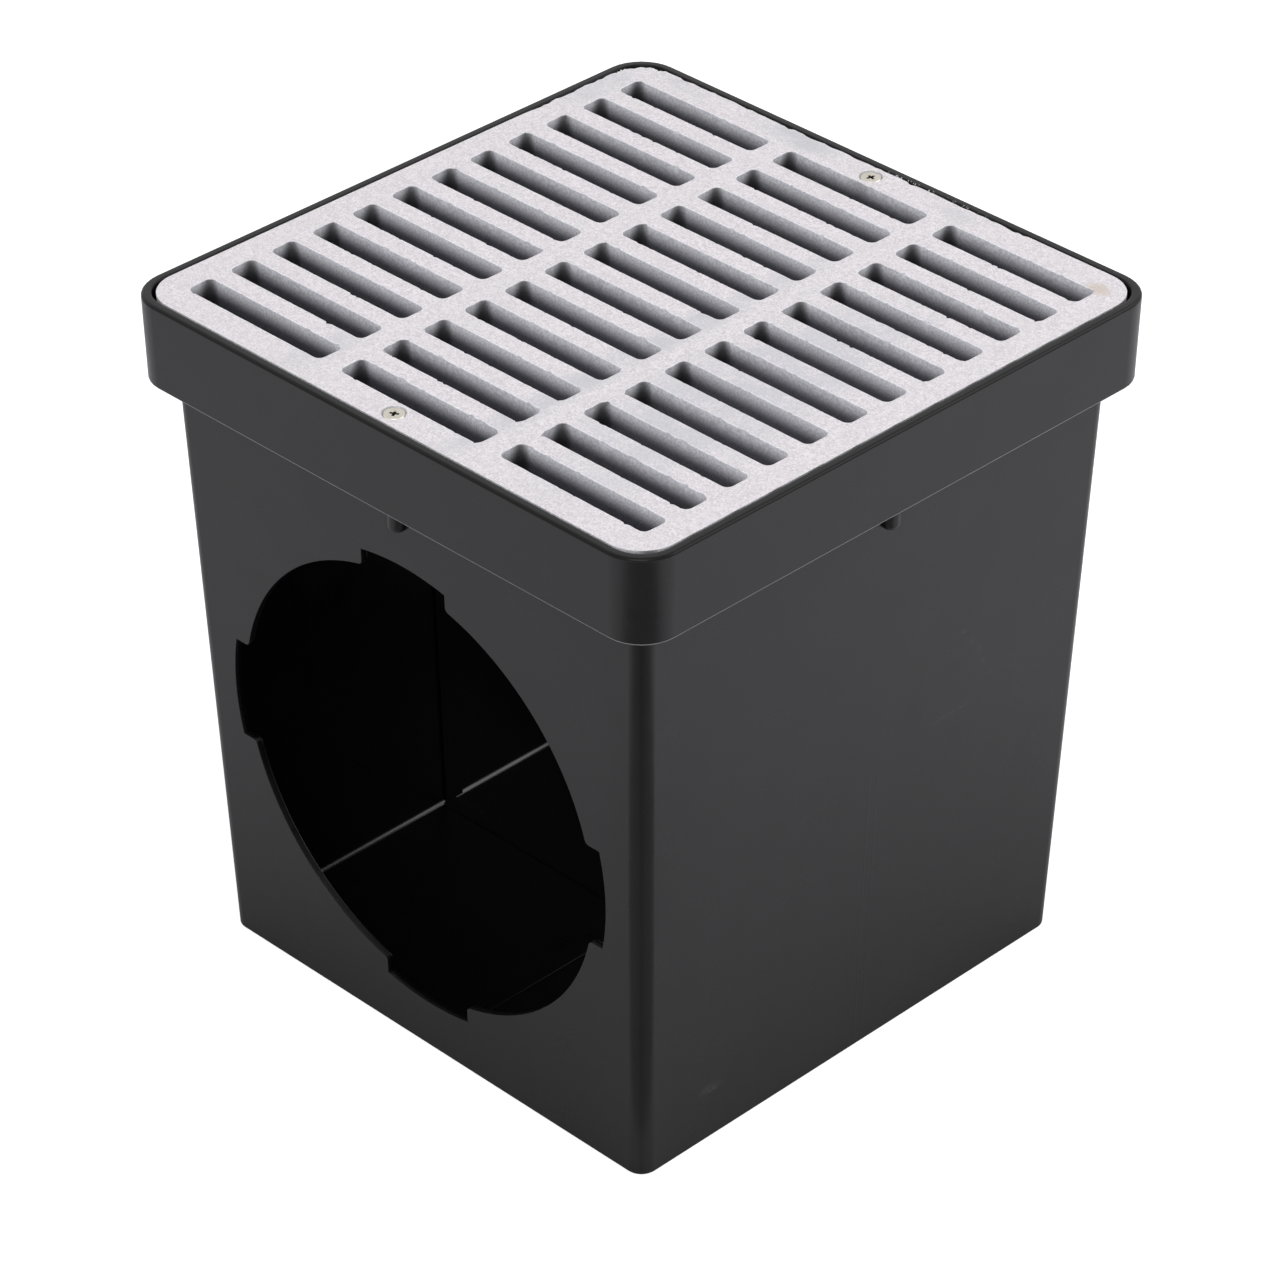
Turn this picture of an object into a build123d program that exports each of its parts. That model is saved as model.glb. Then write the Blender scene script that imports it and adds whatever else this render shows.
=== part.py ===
import os
from math import cos, radians, tan

from build123d import *

# All lengths are millimetres. The origin is the middle of the underside, +Z is up.
# The round openings are in the walls that face -Y and +Y.

# Basin
basin_height = 335.2
base_inset = 18.75
body_draft = 1.98
body_corner_radius = 8.0
wall = 3.5
floor_thickness = 3.5
cavity_corner_radius = 8.0

# Collar round the top of the basin
collar_height = 41.7
collar_reach = 3.9
collar_draft = 1.63
collar_corner_radius = 17.0
collar_wall = 3.5
rim_edge_radius = 1.6

# Round opening with four notches, made for a pipe adapter that snaps in
opening_radius = 109.2
notch_radius = 117.0
notch_width = 51.4
notch_corner_radius = 2.0
opening_height = 142.2

# Screw bosses at the middle of each wall
boss_radius = 5.2
boss_drop = 17.0
boss_end_chamfer = 2.0
side_boss_offset = 3.0
pilot_bottom_wall = 3.5

# Shallow ribs on the two closed walls and across the floor
wall_rib_width = 10.7
wall_rib_proud = 1.2
floor_rib_width = 6.5
floor_rib_proud = 0.8
floor_rib_draft = 45.0

# Grate
grate_side = 304.8
grate_depth = 25.4
grate_draft = 1.5
grate_corner_radius = 16.0
pocket_corner_radius = 12.0
pocket_clearance = 0.5
bar_depth = 19.0
skirt_width = 13.0
underside_corner_radius = 8.0
slot_columns = 3
slot_rows = 12
column_margin = 13.95
row_margin = 15.525
column_bar = 12.15
row_bar = 10.05
slot_corner_radius = 3.0
slot_draft = 2.0

# Countersunk screws that hold the grate down
screw_inset = 8.2
screw_length = 38.1
screw_radius = 2.4
screw_head_radius = 4.9
screw_head_angle = 82.0
screw_head_sink = 0.3
screw_hole_clearance = 0.3
thread_clearance = 0.05
recess_width = 1.1
recess_reach = 2.7
recess_depth = 1.6

# Levels and sizes that follow from the ones above, first those that follow the grate
base_side = grate_side - 2 * base_inset
collar_foot_side = grate_side + 2 * collar_reach
screw_offset = grate_side / 2 - screw_inset
slot_column_pitch = (grate_side - 2 * column_margin + column_bar) / slot_columns
slot_row_pitch = (grate_side - 2 * row_margin + row_bar) / slot_rows
slot_length = slot_column_pitch - column_bar
slot_width = slot_row_pitch - row_bar
body_slope = tan(radians(body_draft))
rib_slope = tan(radians(floor_rib_draft))
collar_foot = basin_height - collar_height
ledge_top = basin_height - grate_depth
ledge_bottom = ledge_top - wall
boss_bottom = collar_foot - boss_drop
boss_length = ledge_bottom - boss_bottom
pocket_side = grate_side + 2 * pocket_clearance
cavity_base_side = base_side + 2 * body_slope * floor_thickness - 2 * wall / cos(radians(body_draft))
groove_side = collar_foot_side - 2 * collar_wall
groove_corner_radius = collar_corner_radius - collar_wall
skirt_inner_side = grate_side - 2 * skirt_width
bar_bottom = basin_height - bar_depth

boss_places = [
    (0, -screw_offset),
    (0, screw_offset),
    (-screw_offset, side_boss_offset),
    (screw_offset, side_boss_offset),
]


def inner_half(height):
    """Half the width of the cavity at a height above the underside."""
    return cavity_base_side / 2 + body_slope * (height - floor_thickness)


def make_block(side, level, height, spread, corner_radius):
    """A square block with round corners, drawn from a level. Its walls lean outwards by the spread angle."""
    with BuildPart() as block:
        with BuildSketch(Plane.XY.offset(level)):
            RectangleRounded(side, side, corner_radius)
        extrude(amount=height, taper=-spread)
    return block.part


# The collar is a skirt outside the body, a ledge, and a rim round the pocket for the grate
with BuildPart() as collar:
    add(make_block(collar_foot_side, collar_foot, collar_height, collar_draft, collar_corner_radius))
    fillet(collar.faces().sort_by(Axis.Z)[-1].edges(), radius=rim_edge_radius)
    groove_height = ledge_bottom - collar_foot
    add(make_block(groove_side, collar_foot, groove_height, 0, groove_corner_radius), mode=Mode.SUBTRACT)
    add(make_block(pocket_side, ledge_top, grate_depth, 0, pocket_corner_radius), mode=Mode.SUBTRACT)

# One screw boss with a chamfered end, and the pilot hole that goes down into it
with BuildPart() as boss:
    with BuildSketch(Plane.XY.offset(boss_bottom)):
        Circle(boss_radius)
    extrude(amount=boss_length)
    chamfer(boss.faces().sort_by(Axis.Z)[0].edges(), length=boss_end_chamfer)

with BuildPart() as pilot_hole:
    with BuildSketch(Plane.XY.offset(boss_bottom + pilot_bottom_wall)):
        Circle(screw_radius + thread_clearance)
    extrude(amount=boss_length)

# Basin, moulded in one piece
with BuildPart() as catch_basin:
    add(collar.part)

    # The body narrows towards the floor, and the cavity follows its draft
    add(make_block(base_side, 0, ledge_top, body_draft, body_corner_radius))
    cavity_height = ledge_top - floor_thickness
    cavity = make_block(cavity_base_side, floor_thickness, cavity_height, body_draft, cavity_corner_radius)
    add(cavity, mode=Mode.SUBTRACT)

    # A flat rib runs up the middle of each closed wall
    with BuildSketch(Plane.XZ.offset(-side_boss_offset)):
        with BuildLine():
            Polyline(
                (inner_half(0) + wall / 2, floor_thickness / 2),
                (inner_half(0) - wall_rib_proud, floor_thickness / 2),
                (inner_half(ledge_bottom) - wall_rib_proud, ledge_bottom),
                (inner_half(ledge_bottom) + wall / 2, ledge_bottom),
                close=True,
            )
        make_face()
        mirror(about=Plane.YZ)
    extrude(amount=wall_rib_width / 2, both=True)

    # Two low ridges cross on the floor
    ridge_foot = floor_rib_width + 2 * rib_slope * floor_rib_proud
    ridge_length = 2 * inner_half(floor_thickness)
    with BuildSketch(Plane.XY.offset(floor_thickness)):
        Rectangle(ridge_length, ridge_foot)
        Rectangle(ridge_foot, ridge_length)
    extrude(amount=floor_rib_proud, taper=floor_rib_draft)

    # Screw bosses stand in the walls, under the ledge, each with a blind pilot hole
    with Locations(*boss_places):
        add(boss.part)
        add(pilot_hole.part, mode=Mode.SUBTRACT)

    # One notched opening through the front wall and its twin through the back wall
    opening_plane = Plane(origin=(0, 0, opening_height), x_dir=(1, 0, 0), z_dir=(0, -1, 0))
    with BuildSketch(opening_plane) as opening:
        Circle(opening_radius)
        Rectangle(notch_width, 2 * notch_radius)
        Rectangle(2 * notch_radius, notch_width)
        Circle(notch_radius, mode=Mode.INTERSECT)
        inner_corners = opening.vertices().filter_by(
            lambda corner: abs(Vector(corner.X, corner.Y).length - opening_radius) < 0.01
        )
        fillet(inner_corners, radius=notch_corner_radius)
    extrude(amount=base_side, both=True, mode=Mode.SUBTRACT)

catch_basin.part.label = "catch_basin"


# Grate, cast in one piece
slot_growth = bar_depth * tan(radians(slot_draft))
with BuildPart() as slot:
    with BuildSketch(Plane.XY.offset(basin_height)):
        RectangleRounded(slot_length, slot_width, slot_corner_radius)
    with BuildSketch(Plane.XY.offset(bar_bottom)):
        RectangleRounded(slot_length + 2 * slot_growth, slot_width + 2 * slot_growth, slot_corner_radius)
    loft()

with BuildPart() as grate:
    add(make_block(grate_side, basin_height, -grate_depth, -grate_draft, grate_corner_radius))

    # The skirt round the edge is deeper than the bars
    underside_height = bar_bottom - ledge_top
    underside = make_block(skirt_inner_side, ledge_top, underside_height, -slot_draft, underside_corner_radius)
    add(underside, mode=Mode.SUBTRACT)

    # The slots widen downwards
    with GridLocations(slot_column_pitch, slot_row_pitch, slot_columns, slot_rows):
        add(slot.part, mode=Mode.SUBTRACT)

    # Two countersunk holes through the skirt
    with Locations(
        (0, -screw_offset, basin_height),
        (0, screw_offset, basin_height),
    ):
        CounterSinkHole(
            radius=screw_radius + screw_hole_clearance,
            counter_sink_radius=screw_head_radius + screw_hole_clearance,
            counter_sink_angle=screw_head_angle,
        )

grate.part.label = "grate"


def make_grate_screw(offset):
    """A countersunk screw with a cross recess, standing in the grate at an offset along Y."""
    head_top = basin_height - screw_head_sink
    head_height = (screw_head_radius - screw_radius) / tan(radians(screw_head_angle / 2))
    with BuildPart() as screw:
        with BuildSketch(Plane.XZ):
            with BuildLine():
                Polyline(
                    (0, head_top),
                    (screw_head_radius, head_top),
                    (screw_radius, head_top - head_height),
                    (screw_radius, head_top - screw_length),
                    (0, head_top - screw_length),
                    close=True,
                )
            make_face()
        revolve(axis=Axis.Z)
        with BuildSketch(Plane.XY.offset(head_top)):
            Rectangle(2 * recess_reach, recess_width)
            Rectangle(recess_width, 2 * recess_reach)
        extrude(amount=-recess_depth, mode=Mode.SUBTRACT)
    return screw.part.moved(Location((0, offset, 0)))


grate_screw_front = make_grate_screw(-screw_offset)
grate_screw_front.label = "grate_screw_front"
grate_screw_rear = make_grate_screw(screw_offset)
grate_screw_rear.label = "grate_screw_rear"

os.makedirs("parts", exist_ok=True)
export_step(catch_basin.part, "parts/catch_basin.step")
export_step(grate.part, "parts/grate.step")
export_step(grate_screw_front, "parts/grate_screw_front.step")
export_step(grate_screw_rear, "parts/grate_screw_rear.step")
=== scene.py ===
import math

import bpy
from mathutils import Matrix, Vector, noise


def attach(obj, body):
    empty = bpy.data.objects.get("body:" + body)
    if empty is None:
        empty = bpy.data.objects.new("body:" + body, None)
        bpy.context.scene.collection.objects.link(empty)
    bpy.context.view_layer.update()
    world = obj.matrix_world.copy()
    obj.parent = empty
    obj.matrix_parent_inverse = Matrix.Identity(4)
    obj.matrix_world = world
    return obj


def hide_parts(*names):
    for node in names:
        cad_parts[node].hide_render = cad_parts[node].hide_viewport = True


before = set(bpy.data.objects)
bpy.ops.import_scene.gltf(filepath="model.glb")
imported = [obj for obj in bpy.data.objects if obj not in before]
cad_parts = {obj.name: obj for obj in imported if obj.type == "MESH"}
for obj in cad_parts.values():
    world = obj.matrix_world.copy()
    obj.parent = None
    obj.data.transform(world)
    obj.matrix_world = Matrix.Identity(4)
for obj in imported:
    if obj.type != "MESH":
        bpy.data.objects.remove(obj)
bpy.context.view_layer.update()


def hexToLinear(hexColour, alpha=1.0):
    # sRGB hex to the linear numbers that a shader takes
    channels = [int(hexColour[i:i + 2], 16) / 255 for i in (1, 3, 5)]
    return [c / 12.92 if c <= 0.04045 else ((c + 0.055) / 1.055) ** 2.4 for c in channels] + [alpha]


def addNode(tree, kind, settings=None, inputs=None):
    # one node with its settings, and its inputs as fixed values or as sockets to link from
    node = tree.nodes.new(kind)
    for name, value in (settings or {}).items():
        setattr(node, name, value)
    for name, value in (inputs or {}).items():
        if isinstance(value, bpy.types.NodeSocket):
            tree.links.new(value, node.inputs[name])
        else:
            node.inputs[name].default_value = value
    return node


def newMaterial(name):
    material = bpy.data.materials.new(name)
    material.use_nodes = True
    material.node_tree.nodes.clear()
    return material, material.node_tree


def noiseOf(tree, place, size, detail=2.0, twist=0.0):
    # noise whose grain has the given size in metres
    return addNode(tree, "ShaderNodeTexNoise", inputs={
        "Vector": place, "Scale": 1 / size, "Detail": detail, "Distortion": twist,
    }).outputs["Fac"]


def spanOf(tree, value, low, high, start=0.0, end=1.0):
    # value eased from start to end while it goes from low to high
    return addNode(tree, "ShaderNodeMapRange", {"interpolation_type": "SMOOTHSTEP"}, {
        "Value": value, "From Min": low, "From Max": high, "To Min": start, "To Max": end,
    }).outputs[0]


def mathOf(tree, operation, first, second=0.0):
    return addNode(tree, "ShaderNodeMath", {"operation": operation}, {0: first, 1: second}).outputs[0]


def productOf(tree, first, second):
    return mathOf(tree, "MULTIPLY", first, second)


def largestOf(tree, values):
    # the largest of several values, such as spots that overlap
    largest = values[0]
    for value in values[1:]:
        largest = mathOf(tree, "MAXIMUM", largest, value)
    return largest


def blendOf(tree, amount, first, second):
    # two numbers mixed by an amount
    return addNode(tree, "ShaderNodeMix", inputs={0: amount, 2: first, 3: second}).outputs[0]


def mixOf(tree, amount, first, second):
    # two colours mixed by an amount
    return addNode(tree, "ShaderNodeMix", {"data_type": "RGBA"}, {0: amount, 6: first, 7: second}).outputs[2]


def vectorOf(tree, operation, *values):
    node = addNode(tree, "ShaderNodeVectorMath", {"operation": operation}, dict(enumerate(values)))
    return node.outputs["Value" if operation == "LENGTH" else 0]


def partsOf(tree, vector):
    # the x, y and z of a vector
    return addNode(tree, "ShaderNodeSeparateXYZ", inputs={0: vector}).outputs


def bumpOf(tree, height, depth, strength, normal=None):
    inputs = {"Height": height, "Distance": depth, "Strength": strength}
    if normal:
        inputs["Normal"] = normal
    return addNode(tree, "ShaderNodeBump", inputs=inputs).outputs[0]


def spotAt(tree, place, middle, reach):
    # 1 at a place on the surface, fading to 0 at its reach, which is given along x, y and z
    scaled = vectorOf(tree, "DIVIDE", vectorOf(tree, "SUBTRACT", place, middle), reach)
    return spanOf(tree, vectorOf(tree, "LENGTH", scaled), 0.3, 1.0, 1.0, 0.0)


def deselectAll():
    if bpy.context.mode != "OBJECT":
        bpy.ops.object.mode_set(mode="OBJECT")
    bpy.ops.object.select_all(action="DESELECT")


def makeActive(piece):
    deselectAll()
    piece.select_set(True)
    bpy.context.view_layer.objects.active = piece


def selectIn(piece, kind, test):
    # into edit mode with only the vertices or the edges that pass the test selected
    makeActive(piece)
    bpy.ops.object.mode_set(mode="EDIT")
    bpy.ops.mesh.select_mode(type={"vertices": "VERT", "edges": "EDGE"}[kind])
    bpy.ops.mesh.select_all(action="DESELECT")
    bpy.ops.object.mode_set(mode="OBJECT")
    points = piece.data.vertices
    for item in getattr(piece.data, kind):
        if kind == "vertices":
            item.select = test(item.co)
        else:
            item.select = test(points[item.vertices[0]].co, points[item.vertices[1]].co)
    bpy.ops.object.mode_set(mode="EDIT")


def editAll(piece):
    # into edit mode with everything selected
    makeActive(piece)
    bpy.ops.object.mode_set(mode="EDIT")
    bpy.ops.mesh.select_all(action="SELECT")


def settle(piece, name):
    # place, turn and size go into the mesh, and the origin to the middle of the world
    makeActive(piece)
    piece.name = name
    piece.data.name = name
    bpy.ops.object.transform_apply(location=True, rotation=True, scale=True)
    return piece


def joinPieces(pieces, name):
    deselectAll()
    for piece in pieces:
        piece.select_set(True)
    bpy.context.view_layer.objects.active = pieces[0]
    bpy.ops.object.join()
    pieces[0].name = name
    return pieces[0]


def combine(piece, tool, operation):
    # a boolean with a second piece, which is used up
    makeActive(piece)
    change = piece.modifiers.new("combine", "BOOLEAN")
    change.operation = operation
    change.solver = "EXACT"
    change.object = tool
    bpy.ops.object.modifier_apply(modifier=change.name)
    bpy.data.objects.remove(tool)


def outline(lengthX, lengthY, corner, z, cutsX=0, cutsY=0, cornerSteps=6):
    # a plane with round corners and cut up sides, of which only the outline is kept
    bpy.ops.mesh.primitive_plane_add(size=1, location=(0, 0, z))
    loop = bpy.context.object
    loop.scale = (lengthX, lengthY, 1)
    bpy.ops.object.transform_apply(location=True, rotation=True, scale=True)
    bpy.ops.object.mode_set(mode="EDIT")
    bpy.ops.mesh.select_all(action="SELECT")
    bpy.ops.mesh.bevel(offset=corner, segments=cornerSteps, affect="VERTICES", clamp_overlap=False)
    bpy.ops.mesh.delete(type="ONLY_FACE")
    for axis, straight, cuts in ((0, lengthX - 2 * corner, cutsX), (1, lengthY - 2 * corner, cutsY)):
        if cuts:
            selectIn(loop, "edges", lambda p, q: abs(p[axis] - q[axis]) > straight * 0.99)
            bpy.ops.mesh.subdivide(number_cuts=cuts)
    bpy.ops.object.mode_set(mode="OBJECT")
    return loop


def onOutline(side, corner, z):
    # a test for points on one square outline with round corners
    flat = side / 2 - corner
    return lambda p: abs(p.z - z) < 1e-5 and abs(
        math.hypot(max(abs(p.x) - flat, 0), max(abs(p.y) - flat, 0)) - corner) < 5e-5


def pullDown(size, growX, growY, drop):
    # the selected outline is drawn on to a lower level, wider or narrower by the growth given
    bpy.ops.mesh.extrude_edges_move(TRANSFORM_OT_translate={"value": (0, 0, -drop)})
    bpy.ops.transform.resize(
        value=((size[0] + growX) / size[0], (size[1] + growY) / size[1], 1), center_override=(0, 0, 0),
    )
    return [size[0] + growX, size[1] + growY]


def roundRim(size, radius, steps, inwards):
    # a quarter round from the flat top into the wall, inwards for a hole and outwards for an outer edge
    turn = -1 if inwards else 1
    for step in range(steps):
        before, after = (math.radians(90 * (step + k) / steps) for k in (0, 1))
        grow = 2 * radius * (math.sin(after) - math.sin(before)) * turn
        size = pullDown(size, grow, grow, radius * (math.cos(before) - math.cos(after)))
    return size


def copyTo(piece, x, y):
    # a copy with its own mesh, moved by x and y
    makeActive(piece)
    bpy.ops.object.duplicate(linked=False)
    bpy.ops.transform.translate(value=(x, y, 0))
    bpy.ops.object.transform_apply(location=True, rotation=True, scale=True)
    return bpy.context.object


def fillLevel(piece, z):
    # fills the flat region between the open outlines at one level
    uses = {}
    for polygon in piece.data.polygons:
        for key in polygon.edge_keys:
            uses[key] = uses.get(key, 0) + 1
    selectIn(piece, "edges", lambda p, q: abs(p.z - z) < 1e-6 and abs(q.z - z) < 1e-6)
    bpy.ops.object.mode_set(mode="OBJECT")
    for edge in piece.data.edges:
        edge.select = edge.select and uses.get(edge.key, 0) < 2
    bpy.ops.object.mode_set(mode="EDIT")
    bpy.ops.mesh.fill(use_beauty=True)
    bpy.ops.object.mode_set(mode="OBJECT")


def smoothSides(piece, angle):
    # smooth round edges, with the flat faces kept flat by their area
    makeActive(piece)
    bpy.ops.object.shade_smooth_by_angle(angle=math.radians(angle))
    weighting = piece.modifiers.new("weighting", "WEIGHTED_NORMAL")
    weighting.keep_sharp = True
    bpy.ops.object.modifier_apply(modifier=weighting.name)


def finishPiece(piece, material, node):
    piece.data.materials.clear()
    piece.data.materials.append(material)
    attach(piece, "root")
    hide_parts(node)


view = {
    "azimuth": 45.0, "elevation": 33.43, "distance": 2.3557, "lens": 148.2,
    "target": (-0.00045, -0.00045, 0.15565),
}

scene = bpy.context.scene
scene.view_settings.view_transform = "Standard"

azimuth, elevation = math.radians(view["azimuth"]), math.radians(view["elevation"])
back = Vector((
    math.sin(azimuth) * math.cos(elevation),
    -math.cos(azimuth) * math.cos(elevation),
    math.sin(elevation),
))
deselectAll()
bpy.ops.object.camera_add(location=Vector(view["target"]) + back * view["distance"])
camera = bpy.context.object
camera.rotation_euler = (-back).to_track_quat("-Z", "Y").to_euler()
camera.data.lens = view["lens"]
camera.data.sensor_width = 36
camera.data.clip_start = 0.05
camera.data.clip_end = 50
scene.camera = camera

studio = {
    "floorSize": 12.0, "floorColour": "#dedde1", "floorGlow": 0.62,
    "nearShade": "#aeaeb0", "shadeFrom": 0.134, "shadeReach": 0.2, "shadePower": 0.6,
    "skyGlow": 0.62, "backdropGlow": 1.0,
    "cardStart": 0.21, "cardLift": 0.002, "cardSize": (0.62, 1.4),
    "cardNearColour": "#989899", "cardColour": "#808081", "cardFade": (0.35, 0.65),
    "keyPlace": (1.4, -1.8, 2.6), "keySize": 1.8, "keyPower": 38,
    "fillPlace": (-2.4, -1.0, 1.8), "fillSize": 2.0, "fillPower": 5,
    "sidePlace": (1.1, 1.3, 1.3), "sideSize": 1.4, "sidePower": 13,
    "lampAim": (0, 0, 0.2),
}

world = bpy.data.worlds.new("softStudio")
scene.world = world
world.use_nodes = True
tree = world.node_tree
tree.nodes.clear()
rays = addNode(tree, "ShaderNodeLightPath")
seen = mathOf(tree, "MAXIMUM", rays.outputs["Is Camera Ray"], rays.outputs["Is Glossy Ray"])
shown = mathOf(tree, "MAXIMUM", seen, rays.outputs["Is Transmission Ray"])
glow = addNode(tree, "ShaderNodeMapRange", inputs={
    "Value": shown, "To Min": studio["skyGlow"], "To Max": studio["backdropGlow"],
})
sky = addNode(tree, "ShaderNodeBackground", inputs={"Color": (1, 1, 1, 1), "Strength": glow.outputs[0]})
addNode(tree, "ShaderNodeOutputWorld", inputs={"Surface": sky.outputs[0]})

bpy.ops.mesh.primitive_plane_add(size=studio["floorSize"], location=(0, 0, 0))
floor = settle(bpy.context.object, "studioFloor")
paper, tree = newMaterial("whitePaper")  # matte white paper, dimmer beside the basin, where it mirrors it
rays = addNode(tree, "ShaderNodeLightPath")
place = addNode(tree, "ShaderNodeTexCoord").outputs["Object"]
# painted shadow: the floor is darker beside the basin's foot, seen only by glossy rays, so the lower plastic
# mirrors a dimmer floor
apart = vectorOf(tree, "ABSOLUTE", place)
apart = vectorOf(tree, "SUBTRACT", apart, (studio["shadeFrom"], studio["shadeFrom"], 0))
apart = vectorOf(tree, "LENGTH", vectorOf(tree, "MAXIMUM", apart, (0, 0, 0)))
openness = addNode(tree, "ShaderNodeMapRange", inputs={"Value": apart, "From Max": studio["shadeReach"]})
openness = mathOf(tree, "POWER", openness.outputs[0], studio["shadePower"])
mirrored = productOf(tree, mathOf(tree, "SUBTRACT", 1.0, openness), rays.outputs["Is Glossy Ray"])
shade = mixOf(tree, mirrored, hexToLinear(studio["floorColour"]), hexToLinear(studio["nearShade"]))
seen = mathOf(tree, "MAXIMUM", rays.outputs["Is Camera Ray"], rays.outputs["Is Transmission Ray"])
lift = productOf(tree, seen, studio["floorGlow"])
matte = addNode(tree, "ShaderNodeBsdfDiffuse", inputs={"Color": shade})
bright = addNode(tree, "ShaderNodeEmission", inputs={"Color": (1, 1, 1, 1), "Strength": lift})
both = addNode(tree, "ShaderNodeAddShader", inputs={0: matte.outputs[0], 1: bright.outputs[0]})
addNode(tree, "ShaderNodeOutputMaterial", inputs={"Surface": both.outputs[0]})
floor.data.materials.append(paper)

# a grey sheet lying on the camera's side, seen only in reflections: painted shade that darkens the corner of the
# plastic facing the camera
towards = Vector((math.sin(azimuth), -math.cos(azimuth), 0))
start = studio["cardStart"] + studio["cardSize"][1] / 2
bpy.ops.mesh.primitive_plane_add(size=1, location=towards * start + Vector((0, 0, studio["cardLift"])))
card = bpy.context.object
card.scale = (*studio["cardSize"], 1)
card.rotation_euler = (0, 0, azimuth)
settle(card, "mirroredShadeCard")
# painted shade seen only in reflections, lighter nearer the basin
cardShade, tree = newMaterial("mirroredShadeGrey")  # grey, it darkens the corner that faces the camera
place = addNode(tree, "ShaderNodeTexCoord").outputs["Object"]
fade = spanOf(tree, vectorOf(tree, "LENGTH", place), *studio["cardFade"])
shade = mixOf(tree, fade, hexToLinear(studio["cardNearColour"]), hexToLinear(studio["cardColour"]))
matte = addNode(tree, "ShaderNodeBsdfDiffuse", inputs={"Color": shade})
addNode(tree, "ShaderNodeOutputMaterial", inputs={"Surface": matte.outputs[0]})
card.data.materials.append(cardShade)
for kind in ("camera", "diffuse", "transmission", "shadow"):
    setattr(card, "visible_" + kind, False)

for lamp in ("key", "fill", "side"):
    place = Vector(studio[lamp + "Place"])
    bpy.ops.object.light_add(type="AREA", location=place)
    light = bpy.context.object
    light.name = lamp + "Softbox"
    light.data.size = studio[lamp + "Size"]
    light.data.energy = studio[lamp + "Power"]
    light.rotation_euler = (Vector(studio["lampAim"]) - place).to_track_quat("-Z", "Y").to_euler()
print("view and light ready")

basinSizes = {
    "base": 0.2673, "baseCorner": 0.008, "draft": 1.98, "wall": 0.0035, "floor": 0.0035, "cavityCorner": 0.006,
    "foot": 0.2935, "footSide": 0.3126, "footCorner": 0.0185, "collarDraft": 1.63, "top": 0.3352,
    "ledgeBottom": 0.3063, "ledgeTop": 0.3098, "grooveSide": 0.3056, "grooveCorner": 0.015,
    "pocketSide": 0.3058, "pocketCorner": 0.0155,
    "openingHeight": 0.1422, "openingRadius": 0.1092, "openingEdge": 0.0004, "toolLength": 0.34,
    "notchRadius": 0.117, "notchWidth": 0.0514, "notchRound": 0.002,
    "bossRadius": 0.0043, "bossBottom": 0.278, "bossRound": 0.003, "bossOffset": 0.1442, "sideBossShift": 0.003,
    "pilotRadius": 0.00245, "pilotBottom": 0.28, "pilotTop": 0.312,
    "wallRibWidth": 0.0107, "wallRibProud": 0.0012, "wallRibRoot": 0.004, "wallRibHeight": 0.304,
    "wallRibFoot": 0.0025, "wallRibRound": 0.0005,
    "floorRibWidth": 0.0081, "floorRibProud": 0.0008, "floorRibRoot": 0.001, "floorRibRound": 0.0006,
    # radius and steps of the round along each outline of the shell
    "rounds": {
        "base": (0.0009, 3), "neck": (0.001, 2), "footInside": (0.0004, 2), "footOutside": (0.0008, 3),
        "rimOutside": (0.0016, 5), "rimInside": (0.0008, 3), "ledge": (0.0005, 2), "floor": (0.0025, 4),
    },
}

# Injection moulded polyethylene, black all through: a satin skin that mirrors the paper weakly,
# a fine orange peel and a slow waviness from the mould, two witness lines, specks of dust and rubs.
# The inside is painted darker and mirrors less, as painted shade; the rim is scuffed; and a painted highlight
# runs along the collar's lower edge.
plasticLook = {
    "skin": "#0a0a0b", "dullSkin": "#101011", "insideShade": "#030303",
    "rub": "#5b5b5c", "dust": "#6c6a66", "lipHighlight": "#858587", "swarf": "#c4c2c4",
    "peelSize": 0.0011, "driftSize": 0.055, "cloudSize": 0.02, "hairSize": 0.0016, "dustSpacing": 0.016,
    "peelDepth": 0.00001, "driftDepth": 0.0016, "witnessDepth": 0.00006,
    "witnessLines": (0.0006, 0.0057), "witnessWidth": 0.0007, "witnessTop": (0.151, 0.146),
    "indexOfRefraction": 1.5, "shine": 0.5, "insideShine": 0.12,
    "innerWall": (0.1325, 0.1312), "rimFrom": (0.3325, 0.3338),
    "lipHighlightTop": (0.2944, 0.2941), "lipHighlightBottom": (0.293, 0.2934), "lipHighlightOutside": (0.146, 0.1465),
    "swarfPlace": (0.03, 0.1531, 0.3352), "swarfReach": (0.04, 0.0011, 0.002),
    # middle and reach of each rub
    "rubs": (
        ((0.141, 0.057, 0.199), (0.01, 0.003, 0.002)), ((0.14, 0.063, 0.191), (0.01, 0.002, 0.003)),
        ((0.14, 0.068, 0.184), (0.01, 0.003, 0.004)), ((0.14, 0.072, 0.177), (0.01, 0.002, 0.003)),
        ((0.139, 0.077, 0.168), (0.01, 0.002, 0.002)), ((0.139, 0.052, 0.158), (0.01, 0.017, 0.0015)),
        ((0.1345, -0.092, 0.028), (0.01, 0.01, 0.004)), ((0.126, -0.138, 0.129), (0.0015, 0.01, 0.0015)),
        ((0.112, -0.1355, 0.053), (0.0015, 0.01, 0.0015)),
    ),
}
mouldedPlastic, tree = newMaterial("mouldedPolyethylene")
coordinates = addNode(tree, "ShaderNodeTexCoord")
place, facing = coordinates.outputs["Object"], coordinates.outputs["Normal"]
position, direction = partsOf(tree, place), partsOf(tree, facing)
level = position[2]

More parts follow.
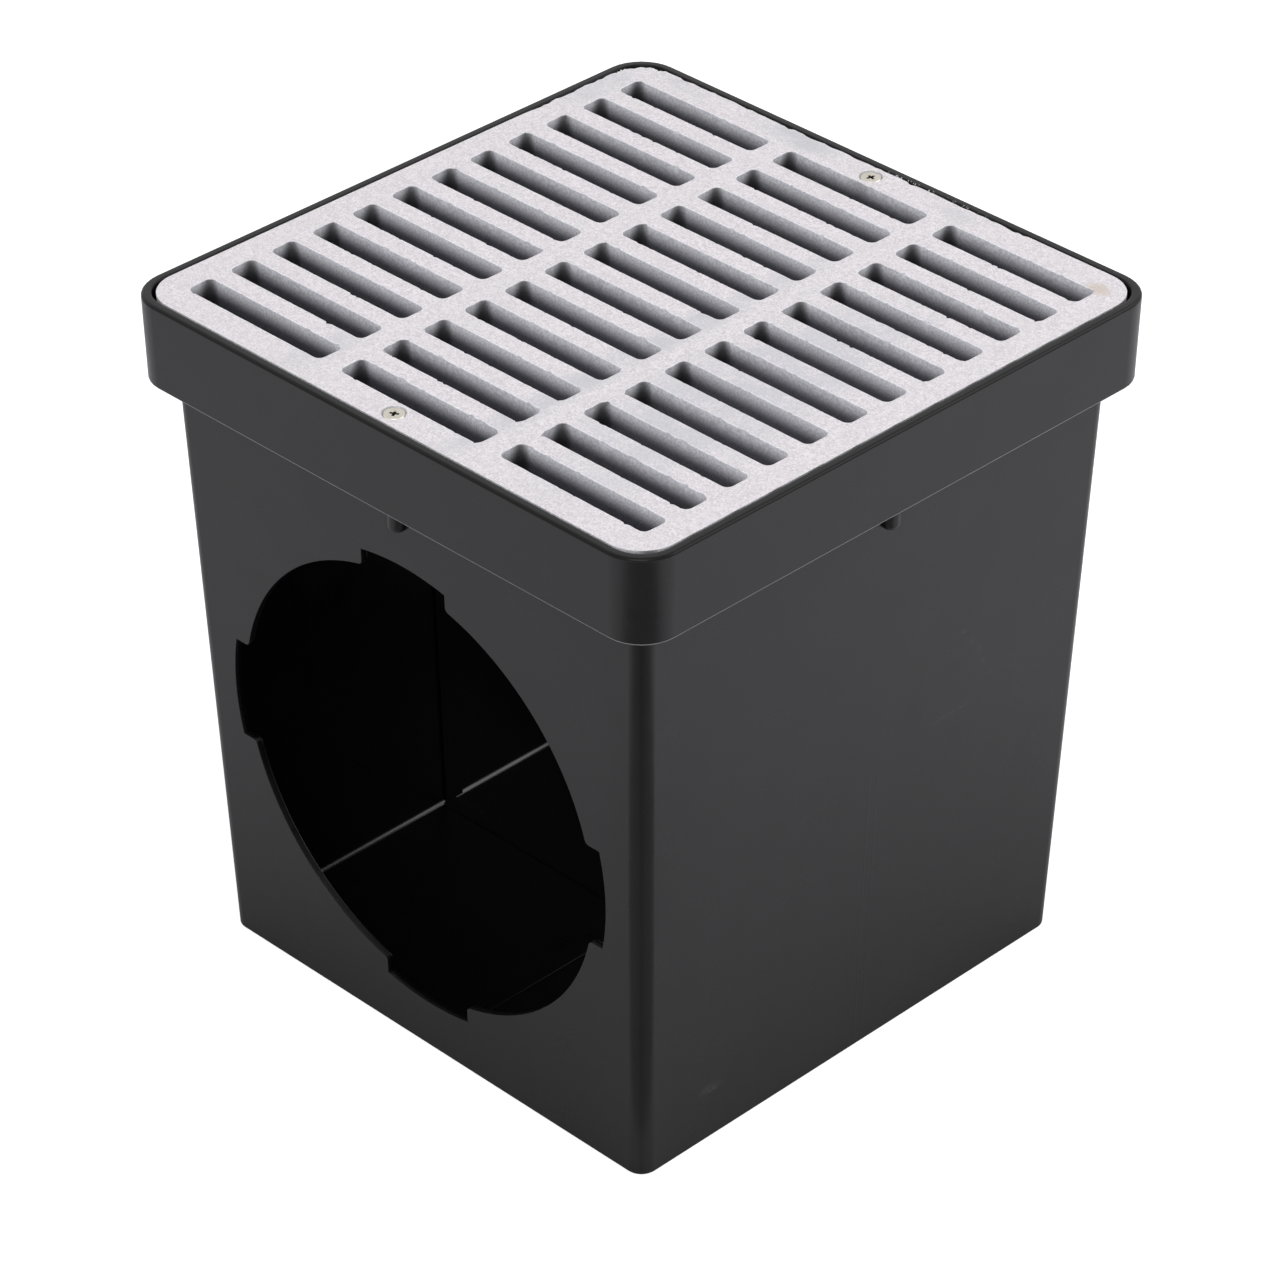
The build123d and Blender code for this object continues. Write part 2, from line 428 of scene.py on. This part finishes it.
# marks on the skin
peel = noiseOf(tree, place, plasticLook["peelSize"])  # orange peel
drift = noiseOf(tree, place, plasticLook["driftSize"], 1.0)  # waviness of the wall
cloud = noiseOf(tree, place, plasticLook["cloudSize"], 4.0, 0.6)  # patches of duller skin
lines = []
for lineY in plasticLook["witnessLines"]:
    off = mathOf(tree, "ABSOLUTE", mathOf(tree, "SUBTRACT", position[1], lineY))
    lines.append(spanOf(tree, off, 0.0, plasticLook["witnessWidth"], 1.0, 0.0))
onSide = spanOf(tree, direction[0], 0.9, 0.98)
onLowerSide = productOf(tree, onSide, spanOf(tree, level, *plasticLook["witnessTop"]))
witness = productOf(tree, largestOf(tree, lines), onLowerSide)
dust = addNode(tree, "ShaderNodeTexVoronoi", inputs={"Vector": place, "Scale": 1 / plasticLook["dustSpacing"]})
pick = addNode(tree, "ShaderNodeSeparateColor", inputs={0: dust.outputs["Color"]}).outputs[0]
rare = spanOf(tree, pick, 0.8, 0.82)
speck = productOf(tree, spanOf(tree, dust.outputs["Distance"], 0.012, 0.02, 1.0, 0.0), rare)
hairs = noiseOf(tree, place, plasticLook["hairSize"], 3.0, 1.2)
rubs = largestOf(tree, [spotAt(tree, place, middle, reach) for middle, reach in plasticLook["rubs"]])
rubbed = productOf(tree, rubs, spanOf(tree, hairs, 0.46, 0.58))
swarf = spotAt(tree, place, plasticLook["swarfPlace"], plasticLook["swarfReach"])
swarf = productOf(tree, swarf, spanOf(tree, hairs, 0.6, 0.63))

# where on the basin: outside or in, on its rim, along the collar's lower edge
spread = partsOf(tree, vectorOf(tree, "ABSOLUTE", place))
outward = mathOf(tree, "MAXIMUM", spread[0], spread[1])
wallLean = math.tan(math.radians(basinSizes["draft"]))
within = mathOf(tree, "SUBTRACT", outward, productOf(tree, level, wallLean))
inside = spanOf(tree, within, *plasticLook["innerWall"])
straight = largestOf(tree, list(partsOf(tree, vectorOf(tree, "ABSOLUTE", facing))))
unlit = productOf(tree, inside, spanOf(tree, straight, 0.95, 0.985))
onRim = spanOf(tree, level, *plasticLook["rimFrom"])
# painted highlight: a pale band along the collar's lower edge, where the edge catches light
lipHighlight = productOf(tree, spanOf(tree, level, *plasticLook["lipHighlightTop"]), spanOf(tree, level, *plasticLook["lipHighlightBottom"]))
lipHighlight = productOf(tree, lipHighlight, spanOf(tree, outward, *plasticLook["lipHighlightOutside"]))

# the rim's round mirrors little, and its flat top a little more
roundShine = spanOf(tree, direction[2], 0.1, 0.35, 0.5, 0.15)
rimShine = mathOf(tree, "ADD", roundShine, spanOf(tree, direction[2], 0.85, 0.99, 0.0, 0.06))
shine = blendOf(tree, onRim, plasticLook["shine"], rimShine)
shine = blendOf(tree, unlit, shine, plasticLook["insideShine"])
skin = mixOf(tree, cloud, hexToLinear(plasticLook["skin"]), hexToLinear(plasticLook["dullSkin"]))
# painted shade: the inside is coloured darker than the outside
skin = mixOf(tree, inside, skin, hexToLinear(plasticLook["insideShade"]))
speck = productOf(tree, speck, spanOf(tree, inside, 0.0, 1.0, 0.5, 0.1))
for amount, colour in ((productOf(tree, rubbed, 0.3), "rub"), (speck, "dust"), (lipHighlight, "lipHighlight"), (swarf, "swarf")):
    skin = mixOf(tree, amount, skin, hexToLinear(plasticLook[colour]))
dull = mathOf(tree, "ADD", spanOf(tree, cloud, 0.3, 0.7, 0.27, 0.33), productOf(tree, rubbed, 0.2))
normal = bumpOf(tree, drift, plasticLook["driftDepth"], 0.25)
normal = bumpOf(tree, witness, plasticLook["witnessDepth"], 0.5, normal)
normal = bumpOf(tree, peel, plasticLook["peelDepth"], 0.6, normal)
plastic = addNode(tree, "ShaderNodeBsdfPrincipled", inputs={
    "Base Color": skin, "Roughness": dull, "IOR": plasticLook["indexOfRefraction"],
    "Specular IOR Level": shine, "Normal": normal,
})
addNode(tree, "ShaderNodeOutputMaterial", inputs={"Surface": plastic.outputs[0]})
print("plastic ready")


def addBlock(name, size, place, turn=0.0):
    deselectAll()
    bpy.ops.mesh.primitive_cube_add(size=1, location=place, scale=size, rotation=(0, turn, 0))
    return settle(bpy.context.object, name)


def addRod(name, radius, bottom, top, x, y, vertices=40):
    deselectAll()
    bpy.ops.mesh.primitive_cylinder_add(
        vertices=vertices, radius=radius, depth=top - bottom, location=(x, y, (top + bottom) / 2),
    )
    return settle(bpy.context.object, name)


def roundEdges(piece, test, radius, steps):
    selectIn(piece, "edges", test)
    bpy.ops.mesh.bevel(offset=radius, segments=steps, affect="EDGES", clamp_overlap=False)
    bpy.ops.object.mode_set(mode="OBJECT")


def makeShell(sizes):
    # the outlines follow the wall from the underside, over the collar's rim and down to the floor inside
    lean = math.tan(math.radians(sizes["draft"]))
    collarLean = math.tan(math.radians(sizes["collarDraft"])) * (sizes["top"] - sizes["foot"])
    wall = sizes["wall"] / math.cos(math.radians(sizes["draft"]))
    cavity = sizes["base"] + 2 * lean * sizes["floor"] - 2 * wall
    under, over, floorLevel = sizes["ledgeBottom"], sizes["ledgeTop"], sizes["floor"]
    outlines = {
        "base": (sizes["base"], sizes["baseCorner"], 0),
        "neck": (sizes["base"] + 2 * lean * under, sizes["baseCorner"], under),
        "groove": (sizes["grooveSide"], sizes["grooveCorner"], under),
        "footInside": (sizes["grooveSide"], sizes["grooveCorner"], sizes["foot"]),
        "footOutside": (sizes["footSide"], sizes["footCorner"], sizes["foot"]),
        "rimOutside": (sizes["footSide"] + 2 * collarLean, sizes["footCorner"] + collarLean, sizes["top"]),
        "rimInside": (sizes["pocketSide"], sizes["pocketCorner"], sizes["top"]),
        "pocket": (sizes["pocketSide"], sizes["pocketCorner"], over),
        "ledge": (cavity + 2 * lean * (over - floorLevel), sizes["cavityCorner"], over),
        "floor": (cavity, sizes["cavityCorner"], floorLevel),
    }
    # they are bridged while they stand 0.1 m apart, and then go to their own levels
    loops = [
        outline(side, side, corner, 0.1 * step, cornerSteps=8)
        for step, (side, corner, z) in enumerate(outlines.values())
    ]
    shell = joinPieces(loops, "basin")
    for step in range(len(outlines) - 1):
        selectIn(shell, "vertices", lambda p: -0.05 < p.z - 0.1 * step < 0.15)
        bpy.ops.mesh.bridge_edge_loops()
    deselectAll()
    levels = [z for side, corner, z in outlines.values()]
    for vertex in shell.data.vertices:
        vertex.co.z = levels[round(vertex.co.z / 0.1)]
    tests = {name: onOutline(*place) for name, place in outlines.items()}
    for name in ("base", "floor"):
        selectIn(shell, "edges", lambda p, q: tests[name](p) and tests[name](q))
        bpy.ops.mesh.edge_face_add()
    for name, (radius, steps) in sizes["rounds"].items():
        roundEdges(shell, lambda p, q: tests[name](p) and tests[name](q), radius, steps)
    editAll(shell)
    bpy.ops.mesh.normals_make_consistent(inside=False)
    bpy.ops.object.mode_set(mode="OBJECT")
    return shell


def makeOpeningTool(sizes):
    # a round bar with a cross of notches, longer than the basin is deep
    place, half, length = (0, 0, sizes["openingHeight"]), sizes["notchWidth"] / 2, sizes["toolLength"]
    tools = []
    for radius in (sizes["openingRadius"], sizes["notchRadius"]):
        bpy.ops.mesh.primitive_cylinder_add(
            vertices=160, radius=radius, depth=length, location=place, rotation=(math.radians(90), 0, 0),
        )
        tools.append(settle(bpy.context.object, "openingTool"))
    tool, limit = tools
    reach = 2.2 * sizes["notchRadius"]
    for size in ((sizes["notchWidth"], length, reach), (reach, length, sizes["notchWidth"])):
        combine(tool, addBlock("notches", size, place), "UNION")
    combine(tool, limit, "INTERSECT")

    def innerCorner(p):
        across, up = abs(p.x), abs(p.z - sizes["openingHeight"])
        atNotch = abs(min(across, up) - half) < 1e-5
        return atNotch and abs(math.hypot(across, up) - sizes["openingRadius"]) < 2e-4

    roundEdges(tool, lambda p, q: abs(p.y - q.y) > 0.1 and innerCorner(p), sizes["notchRound"], 4)
    return tool


def makeBasin(sizes):
    basin = makeShell(sizes)
    lean = math.radians(sizes["draft"])
    cavity = sizes["base"] / 2 - sizes["wall"]
    places = [(0, -sizes["bossOffset"]), (0, sizes["bossOffset"]),
              (-sizes["bossOffset"], sizes["sideBossShift"]), (sizes["bossOffset"], sizes["sideBossShift"])]
    for x, y in places:
        boss = addRod("boss", sizes["bossRadius"], sizes["bossBottom"], sizes["ledgeBottom"] + 0.001, x, y)
        bottom = sizes["bossBottom"] + 1e-5
        roundEdges(boss, lambda p, q: p.z < bottom and q.z < bottom, sizes["bossRound"], 4)
        combine(basin, boss, "UNION")
    for side in (-1, 1):
        # a flat rib that leans with the wall
        thick, middle = sizes["wallRibRoot"], sizes["wallRibFoot"] + sizes["wallRibHeight"] / 2
        away = cavity + math.tan(lean) * middle - sizes["wallRibProud"] + thick / 2
        size = (thick, sizes["wallRibWidth"], sizes["wallRibHeight"])
        rib = addBlock("wallRib", size, (side * away, sizes["sideBossShift"], middle), side * lean)
        roundEdges(rib, lambda p, q: abs(p.z - q.z) > 0.1 and abs(p.x) < away, sizes["wallRibRound"], 2)
        combine(basin, rib, "UNION")
    for turned in (False, True):
        # a low ridge across the floor, with sloping sides
        low, high = sizes["floor"] - sizes["floorRibRoot"], sizes["floor"] + sizes["floorRibProud"]
        size = [2 * cavity - 0.001, sizes["floorRibWidth"], high - low]  # it stops a little short of the walls
        if turned:
            size[0], size[1] = size[1], size[0]
        ridge = addBlock("floorRidge", size, (0, 0, (low + high) / 2))
        roundEdges(ridge, lambda p, q: p.z > high - 1e-5 and q.z > high - 1e-5, sizes["floorRibRound"], 2)
        combine(basin, ridge, "UNION")
    for x, y in places:
        pilot = addRod("pilot", sizes["pilotRadius"], sizes["pilotBottom"], sizes["pilotTop"], x, y, 24)
        combine(basin, pilot, "DIFFERENCE")
    combine(basin, makeOpeningTool(sizes), "DIFFERENCE")
    height, low, high = sizes["openingHeight"], sizes["openingRadius"] - 0.0005, sizes["notchRadius"] + 0.0002

    def onMouth(p):
        return abs(p.y) > 0.12 and low < math.hypot(p.x, p.z - height) < high

    roundEdges(
        basin, lambda p, q: onMouth(p) and onMouth(q) and abs(p.y - q.y) < 0.0015, sizes["openingEdge"], 2,
    )
    smoothSides(basin, 40)
    return basin


basin = makeBasin(basinSizes)
finishPiece(basin, mouldedPlastic, "catch_basin")
print("basin ready", len(basin.data.polygons))

grateSizes = {
    "side": 0.3048, "top": 0.3352, "depth": 0.0254, "barDepth": 0.019, "corner": 0.0185, "draft": 1.5,
    "skirtInner": 0.2788, "skirtCorner": 0.0015, "rimRound": 0.0003, "wallLevels": (0.1, 0.2, 0.7),
    "columns": 3, "rows": 12, "columnPitch": 0.09635, "rowPitch": 0.02365,
    "slotLength": 0.0842, "slotWidth": 0.0136, "slotCorner": 0.003, "slotRound": 0.0004, "slotDraft": 2.0,
    "slotLevels": (0.15, 0.25, 0.3, 0.3),
    "screwOffset": 0.1442, "sinkRadius": 0.0055, "holeRadius": 0.0027, "sinkDepth": 0.0029,
}

# Cast aluminium, its top ground to a pale grey with worm-like crinkles and a few smoother, darker patches.
# The slot walls are left as cast and grainy, with painted shade: pale at the top and darker the deeper they go.
castLook = {
    "low": "#d1cdd1", "high": "#e8e4e8", "cloud": "#d4d3d6", "patch": "#c3c5ca", "stain": "#c9b8a4",
    "wallLitTop": "#f0f0f6", "wallShadedDeep": "#505058", "cornerShade": "#121214", "sink": "#3a3835",
    "wormSize": 0.0017, "grainSize": 0.0011, "cloudSize": 0.016, "wormDepth": 0.00006, "grainDepth": 0.00012,
    "wallFade": 0.01, "stainPlace": (0.138, 0.139, 0.3352), "stainReach": (0.009, 0.006, 0.02),
    "cornerShadePlace": (-0.0425, 0.0186, 0.3252), "cornerShadeReach": (0.0055, 0.0085, 0.02),
    "sinkReach": (0.011, 0.011, 0.02),
    # middle, reach and strength of each patch that the grinding left smoother
    "patches": (
        ((-0.047, 0.1465, 0.3352), (0.03, 0.009, 0.02), 1.0), ((0.05, 0.144, 0.3352), (0.016, 0.007, 0.02), 0.5),
        ((-0.146, 0.12, 0.3352), (0.01, 0.03, 0.02), 0.7), ((-0.12, 0.147, 0.3352), (0.02, 0.006, 0.02), 0.6),
        ((0.037, -0.04, 0.3352), (0.011, 0.17, 0.02), 0.9), ((0.09, -0.03, 0.3352), (0.045, 0.15, 0.02), 0.75),
        ((-0.06, -0.13, 0.3352), (0.012, 0.03, 0.02), 0.6),
    ),
}
castAluminium, tree = newMaterial("groundCastAluminium")
coordinates = addNode(tree, "ShaderNodeTexCoord")
place = coordinates.outputs["Object"]
direction = partsOf(tree, coordinates.outputs["Normal"])
ground = spanOf(tree, direction[2], 0.75, 0.95)
depth = mathOf(tree, "SUBTRACT", grateSizes["top"], partsOf(tree, place)[2])
worms = noiseOf(tree, place, castLook["wormSize"], 2.0, 1.8)  # crinkles 1 to 2 mm apart
grain = noiseOf(tree, place, castLook["grainSize"])
broad = noiseOf(tree, place, castLook["cloudSize"], 3.0, 0.8)
patches = largestOf(tree, [
    productOf(tree, spotAt(tree, place, middle, reach), amount) for middle, reach, amount in castLook["patches"]
])
patches = productOf(tree, patches, spanOf(tree, broad, 0.3, 0.6, 0.3, 1.0))
stain = productOf(tree, spotAt(tree, place, castLook["stainPlace"], castLook["stainReach"]), 0.5)
top = mixOf(tree, spanOf(tree, worms, 0.35, 0.65), hexToLinear(castLook["low"]), hexToLinear(castLook["high"]))
top = mixOf(tree, spanOf(tree, broad, 0.5, 0.7, 0.0, 0.2), top, hexToLinear(castLook["cloud"]))
top = mixOf(tree, productOf(tree, patches, 0.65), top, hexToLinear(castLook["patch"]))
top = mixOf(tree, stain, top, hexToLinear(castLook["stain"]))

# the place within each slot, from its middle, for the painted shade in the corner at its far left end
inSlot = vectorOf(
    tree, "WRAP", place,
    (grateSizes["columnPitch"] / 2, grateSizes["rowPitch"], 1), (-grateSizes["columnPitch"] / 2, 0, -1),
)
cornerShade = spotAt(tree, inSlot, castLook["cornerShadePlace"], castLook["cornerShadeReach"])
# painted shade: the slot walls are coloured pale at the top and darker the deeper they go
depthShade = spanOf(tree, depth, 0.0, castLook["wallFade"])
wall = mixOf(tree, depthShade, hexToLinear(castLook["wallLitTop"]), hexToLinear(castLook["wallShadedDeep"]))
# painted shade in the far left corner of each slot
wall = mixOf(tree, productOf(tree, cornerShade, 0.85), wall, hexToLinear(castLook["cornerShade"]))
grainAndShade = spanOf(tree, grain, 0.35, 0.65, 0.86, 1.1)
# painted shade: walls that face +x are made darker, on top of the grain
grainAndShade = productOf(tree, grainAndShade, spanOf(tree, direction[0], 0.3, 0.9, 1.0, 0.7))
wall = addNode(tree, "ShaderNodeVectorMath", {"operation": "SCALE"}, {0: wall, "Scale": grainAndShade}).outputs[0]
sinks = largestOf(tree, [
    spotAt(tree, place, (0, side * grateSizes["screwOffset"], grateSizes["top"]), castLook["sinkReach"])
    for side in (1, -1)
])
wall = mixOf(tree, productOf(tree, sinks, 0.6), wall, hexToLinear(castLook["sink"]))
normal = bumpOf(tree, worms, castLook["wormDepth"], productOf(tree, ground, 0.5))
normal = bumpOf(tree, grain, castLook["grainDepth"], spanOf(tree, ground, 0.0, 1.0, 0.7, 0.1), normal)
aluminium = addNode(tree, "ShaderNodeBsdfPrincipled", inputs={
    "Base Color": mixOf(tree, ground, wall, top), "Metallic": spanOf(tree, ground, 0.0, 1.0, 0.2, 0.9),
    "Roughness": spanOf(tree, patches, 0.0, 1.0, 0.55, 0.42), "Normal": normal,
})
addNode(tree, "ShaderNodeOutputMaterial", inputs={"Surface": aluminium.outputs[0]})
print("aluminium ready")


def makeSlot(sizes):
    # one slot's walls, open at both ends, at the middle of the grate
    rim = sizes["slotRound"]
    size = [sizes["slotLength"] + 2 * rim, sizes["slotWidth"] + 2 * rim]
    slot = outline(size[0], size[1], sizes["slotCorner"] + rim, sizes["top"], 63, 3, 6)
    editAll(slot)
    size = roundRim(size, rim, 3, inwards=True)
    wall = sizes["barDepth"] - rim
    for part in sizes["slotLevels"]:
        grow = 2 * wall * part * math.tan(math.radians(sizes["slotDraft"]))
        size = pullDown(size, grow, grow, wall * part)
    bpy.ops.object.mode_set(mode="OBJECT")
    return slot


def makeScrewHole(sizes):
    # a countersunk hole through the skirt
    bpy.ops.mesh.primitive_circle_add(vertices=40, radius=sizes["sinkRadius"], location=(0, 0, sizes["top"]))
    hole = settle(bpy.context.object, "screwHole")
    editAll(hole)
    size = [2 * sizes["sinkRadius"]] * 2
    narrow = 2 * (sizes["holeRadius"] - sizes["sinkRadius"])
    size = pullDown(size, narrow, narrow, sizes["sinkDepth"])
    pullDown(size, 0, 0, sizes["depth"] - sizes["sinkDepth"])
    bpy.ops.object.mode_set(mode="OBJECT")
    return hole


raggedSizes = {
    "slow": 0.00012, "slowGrain": 140, "fast": 0.00006, "fastGrain": 700,
    "nick": 0.003, "nickGrain": 420, "nickFrom": 0.34, "nickLevel": 0.002, "barMiddle": 0.0118,
    "edgeBand": 0.0015, "chipLevel": 0.006,
    "chip": 0.0012, "chipGrain": 110, "chipSteps": 3, "flake": 0.0024, "flakeGrain": 900, "flakeFrom": 0.05,
}


def raggedness(p):
    # how badly the outer edge is chipped: along the two far sides, and most round the corner between them
    if p.x < -0.12:
        return max(0, min(1, (p.y - 0.075) / 0.02))
    if p.y > 0.12:
        return 1 if p.x < -0.125 else 0.6 if p.x < 0.085 else 0
    return 0


def noiseAt(p, grain, shift):
    return noise.noise(p * grain + Vector(shift))


def roughenCasting(grate, sizes, rough):
    # cast walls wander by a tenth of a millimetre, rims are nicked, and the outer edge is chipped in steps
    flat = sizes["side"] / 2 - sizes["corner"]
    pitch = sizes["rowPitch"]
    for vertex in grate.data.vertices:
        p = vertex.co
        away = Vector((p.x - max(-flat, min(flat, p.x)), p.y - max(-flat, min(flat, p.y)), 0))
        down = sizes["top"] - p.z
        slow = noise.noise_vector(p * rough["slowGrain"])
        fast = noise.noise_vector(p * rough["fastGrain"] + Vector((3, 7, 1)))
        edge = away.length > sizes["corner"] - rough["edgeBand"]
        move = (slow * rough["slow"] + fast * rough["fast"]) * (0.5 if edge else 1)
        if down < rough["nickLevel"] and not edge:
            nick = max(0, noiseAt(p, rough["nickGrain"], (9, 2, 4)) - rough["nickFrom"])
            fromSlot = p.y - round(p.y / pitch - 0.5) * pitch - rough["barMiddle"]
            move.y += math.copysign(nick * rough["nick"], fromSlot)
        ragged = raggedness(p) if edge else 0
        if ragged and down < rough["chipLevel"]:
            across = Vector((p.x, p.y, 0))
            chip = min(1, abs(noiseAt(across, rough["chipGrain"], (5, 1, 8))) * 2.4)
            chip = round(chip * rough["chipSteps"]) / rough["chipSteps"]
            flake = max(0, noiseAt(across, rough["flakeGrain"], (2, 6, 3)) - rough["flakeFrom"])
            move -= away.normalized() * ragged * (rough["chip"] * chip + rough["flake"] * flake)
        p.x += move.x
        p.y += move.y


def makeGrate(sizes):
    slot = makeSlot(sizes)
    walls = []
    for column in range(sizes["columns"]):
        for row in range(sizes["rows"]):
            x = (column - (sizes["columns"] - 1) / 2) * sizes["columnPitch"]
            y = (row - (sizes["rows"] - 1) / 2) * sizes["rowPitch"]
            walls.append(copyTo(slot, x, y))
    bpy.data.objects.remove(slot)
    hole = makeScrewHole(sizes)
    walls += [copyTo(hole, 0, y) for y in (-sizes["screwOffset"], sizes["screwOffset"])]
    bpy.data.objects.remove(hole)

    # the outside wall, from the ground top down to the foot of the skirt
    rim = sizes["rimRound"]
    size = [sizes["side"] - 2 * rim] * 2
    outside = outline(size[0], size[1], sizes["corner"] - rim, sizes["top"], 479, 479, 28)
    editAll(outside)
    size = roundRim(size, rim, 2, inwards=False)
    wall = sizes["depth"] - rim
    for part in sizes["wallLevels"]:
        grow = -2 * wall * part * math.tan(math.radians(sizes["draft"]))
        size = pullDown(size, grow, grow, wall * part)
    bpy.ops.object.mode_set(mode="OBJECT")

    # the inside of the skirt, up to the underside of the bars
    foot = sizes["top"] - sizes["depth"]
    inside = outline(sizes["skirtInner"], sizes["skirtInner"], sizes["skirtCorner"], foot, 0, 0, 3)
    editAll(inside)
    rise = sizes["depth"] - sizes["barDepth"]
    pullDown([sizes["skirtInner"]] * 2, -0.0002, -0.0002, -rise)
    bpy.ops.object.mode_set(mode="OBJECT")

    grate = joinPieces([outside, inside] + walls, "castGrate")
    roughenCasting(grate, sizes, raggedSizes)
    for level in (sizes["top"], foot, foot + rise):
        fillLevel(grate, level)
    editAll(grate)
    bpy.ops.mesh.remove_doubles(threshold=1e-6)
    bpy.ops.mesh.normals_make_consistent(inside=False)
    bpy.ops.object.mode_set(mode="OBJECT")
    smoothSides(grate, 35)
    return grate


grate = makeGrate(grateSizes)
finishPiece(grate, castAluminium, "grate")
print("grate ready", len(grate.data.polygons))

screwSizes = {
    "top": 0.3349, "headRadius": 0.0048, "headHeight": 0.0028, "shankRadius": 0.0024, "length": 0.0381,
    "edge": 0.0003, "recessReach": 0.0027, "recessWidth": 0.0014, "recessDepth": 0.0016, "offset": 0.1442,
    "turns": (("grate_screw_front", -1, 28), ("grate_screw_rear", 1, -12)),
}

# Stainless steel, slightly warm: smudges on the head, and painted shade in its recess and under its edge.
steelLook = {
    "dull": "#bcb6ab", "clean": "#dcd7ce", "recessShade": "#1d1916", "recessShadeLevels": (0.00032, 0.0006),
    "smudgeSize": 0.003, "scratchSize": 0.0004, "scratchDepth": 0.00002,
}
stainless, tree = newMaterial("stainlessSteel")
place = addNode(tree, "ShaderNodeTexCoord").outputs["Object"]
smudge = noiseOf(tree, place, steelLook["smudgeSize"], 3.0)
scratch = noiseOf(tree, place, steelLook["scratchSize"])
low = mathOf(tree, "SUBTRACT", screwSizes["top"], partsOf(tree, place)[2])
# painted shade: darker from just below the head's top down, in the recess and under the head
recessShade = spanOf(tree, low, *steelLook["recessShadeLevels"])
clean = mixOf(tree, smudge, hexToLinear(steelLook["dull"]), hexToLinear(steelLook["clean"]))
steel = addNode(tree, "ShaderNodeBsdfPrincipled", inputs={
    "Base Color": mixOf(tree, recessShade, clean, hexToLinear(steelLook["recessShade"])),
    "Metallic": spanOf(tree, recessShade, 0.0, 1.0, 1.0, 0.2),
    "Roughness": spanOf(tree, smudge, 0.3, 0.7, 0.3, 0.45),
    "Normal": bumpOf(tree, scratch, steelLook["scratchDepth"], 0.4),
})
addNode(tree, "ShaderNodeOutputMaterial", inputs={"Surface": steel.outputs[0]})
print("steel ready")


def makeScrew(sizes, side, angle):
    edge, head = sizes["edge"], 2 * sizes["headRadius"]
    bpy.ops.mesh.primitive_circle_add(
        vertices=56, radius=sizes["headRadius"] - edge, fill_type="NGON", location=(0, 0, sizes["top"]),
    )
    screw = settle(bpy.context.object, "grateScrew")
    selectIn(screw, "edges", lambda p, q: True)
    bpy.ops.mesh.select_mode(type="EDGE")
    size = pullDown([head - 2 * edge] * 2, 2 * edge, 2 * edge, edge)
    narrow = 2 * sizes["shankRadius"] - head
    size = pullDown(size, narrow, narrow, sizes["headHeight"])
    pullDown(size, 0, 0, sizes["length"] - sizes["headHeight"] - edge)
    bpy.ops.mesh.edge_face_add()
    bpy.ops.mesh.select_all(action="SELECT")
    bpy.ops.mesh.normals_make_consistent(inside=False)
    wings = []
    for turn in (0, 90):
        size = (2 * sizes["recessReach"], sizes["recessWidth"], 2 * sizes["recessDepth"])
        wing = addBlock("recessWing", size, (0, 0, sizes["top"]))
        selectIn(wing, "vertices", lambda p: p.z < sizes["top"])
        bpy.ops.transform.resize(value=(0.6, 0.9, 1), center_override=(0, 0, 0))
        bpy.ops.object.mode_set(mode="OBJECT")
        wing.rotation_euler = (0, 0, math.radians(turn))
        wings.append(settle(wing, "recessWing"))
    combine(wings[0], wings[1], "UNION")
    combine(screw, wings[0], "DIFFERENCE")
    screw.rotation_euler = (0, 0, math.radians(angle))
    screw.location = (0, side * sizes["offset"], 0)
    settle(screw, "grateScrew")
    bpy.ops.object.shade_smooth_by_angle(angle=math.radians(25))
    return screw


for node, side, angle in screwSizes["turns"]:
    finishPiece(makeScrew(screwSizes, side, angle), stainless, node)
print("screws ready")
